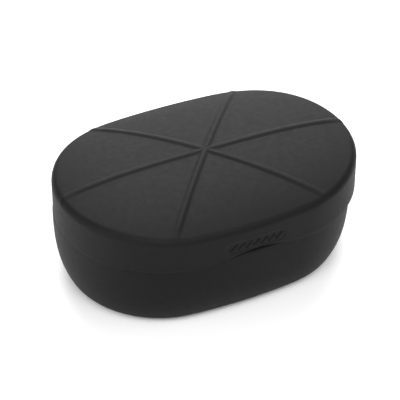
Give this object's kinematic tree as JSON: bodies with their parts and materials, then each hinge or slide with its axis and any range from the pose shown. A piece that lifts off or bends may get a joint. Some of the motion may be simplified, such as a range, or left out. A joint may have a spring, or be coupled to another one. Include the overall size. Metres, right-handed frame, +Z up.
{
  "type": "wireless earbuds charging case",
  "caption": "Pill-shaped charging case with a ribbed hinged lid, front finger notch, two earbud pockets with sprung contacts, battery and rear charging port.",
  "frame": {"origin": "middle of the flat underside, at the height of the surface the case stands on", "axes": "+X along the case towards its right end, -Y towards the front with the finger notch, +Y towards the rear with hinge and charging port, +Z up"},
  "size_m": [0.0654, 0.0478, 0.0278],
  "materials": {
    "soft_touch_shell": "matte soft-touch charcoal, fine grain",
    "inner_plastic": "satin black moulded plastic",
    "soft_pad": "soft dark foam",
    "hinge_steel": "satin steel",
    "screw_steel": "zinc plated",
    "magnet_nickel": "nickel plated",
    "chip_plastic": "moulded epoxy",
    "switch_metal": "stamped cover",
    "circuit_board": "solder mask over glass fibre",
    "cell_foil": "pouch foil",
    "wire_red": "insulated wire",
    "port_steel": "plated sleeve",
    "port_plastic": "moulded tongue",
    "bezel_plastic": "gloss trim ring",
    "button_plastic": "satin dark grey",
    "light_body": "light emitter body",
    "light_pipe_clear": "clear light guide",
    "ribbon_film": "amber film ribbon",
    "block_plastic": "moulded insulator",
    "contact_gold": "gold plated"
  },
  "bodies": {
    "base": {"base_outer_shell": "soft_touch_shell", "cradle": "inner_plastic", "battery_foam_pad": "soft_pad", "hinge_leaf_base": "hinge_steel", "hinge_pin": "hinge_steel", "hinge_screws_base": "screw_steel", "board_screws": "screw_steel", "switch_board_screws": "screw_steel", "latch_magnets_base": "magnet_nickel", "keeper_magnet_left": "magnet_nickel", "keeper_magnet_right": "magnet_nickel", "hall_sensor": "chip_plastic", "board_chips": "chip_plastic", "tact_switch": "switch_metal", "main_board": "circuit_board", "switch_board": "circuit_board", "battery_cell": "cell_foil", "battery_leads": "wire_red", "port_shell": "port_steel", "port_tongue": "port_plastic", "port_bezel": "bezel_plastic", "status_light": "light_body", "light_pipe": "light_pipe_clear", "ribbon_cable": "ribbon_film", "contact_block_left": "block_plastic", "contact_block_right": "block_plastic"},
    "lid": {"lid_outer_shell": "soft_touch_shell", "lid_liner": "inner_plastic", "lid_pad_left": "soft_pad", "lid_pad_right": "soft_pad", "hinge_leaf_lid": "hinge_steel", "hinge_screws_lid": "screw_steel", "latch_magnets_lid": "magnet_nickel", "hall_magnet": "magnet_nickel"},
    "pairing_button": {"pairing_button": "button_plastic"},
    "contact_pin_left_inner": {"contact_pin_left_inner": "contact_gold"},
    "contact_pin_left_outer": {"contact_pin_left_outer": "contact_gold"},
    "contact_pin_right_inner": {"contact_pin_right_inner": "contact_gold"},
    "contact_pin_right_outer": {"contact_pin_right_outer": "contact_gold"}
  },
  "joints": [
    {"name": "lid_hinge", "type": "hinge", "parent": "base", "child": "lid", "pos_m": [0, 0.02217, 0.01665], "axis": [-1, 0, 0], "range_deg": [0, 105]},
    {"name": "button_press", "type": "slide", "parent": "base", "child": "pairing_button", "axis": [0, 0, -1], "range_m": [0, 0.0005], "stiffness_N_per_m": 400, "springref_m": -0.0006},
    {"name": "contact_pin_left_inner_travel", "type": "slide", "parent": "base", "child": "contact_pin_left_inner", "axis": [0, 0, -1], "range_m": [0, 0.0008], "stiffness_N_per_m": 400, "springref_m": -0.0005},
    {"name": "contact_pin_left_outer_travel", "type": "slide", "parent": "base", "child": "contact_pin_left_outer", "axis": [0, 0, -1], "range_m": [0, 0.0008], "stiffness_N_per_m": 400, "springref_m": -0.0005},
    {"name": "contact_pin_right_inner_travel", "type": "slide", "parent": "base", "child": "contact_pin_right_inner", "axis": [0, 0, -1], "range_m": [0, 0.0008], "stiffness_N_per_m": 400, "springref_m": -0.0005},
    {"name": "contact_pin_right_outer_travel", "type": "slide", "parent": "base", "child": "contact_pin_right_outer", "axis": [0, 0, -1], "range_m": [0, 0.0008], "stiffness_N_per_m": 400, "springref_m": -0.0005}
  ]
}
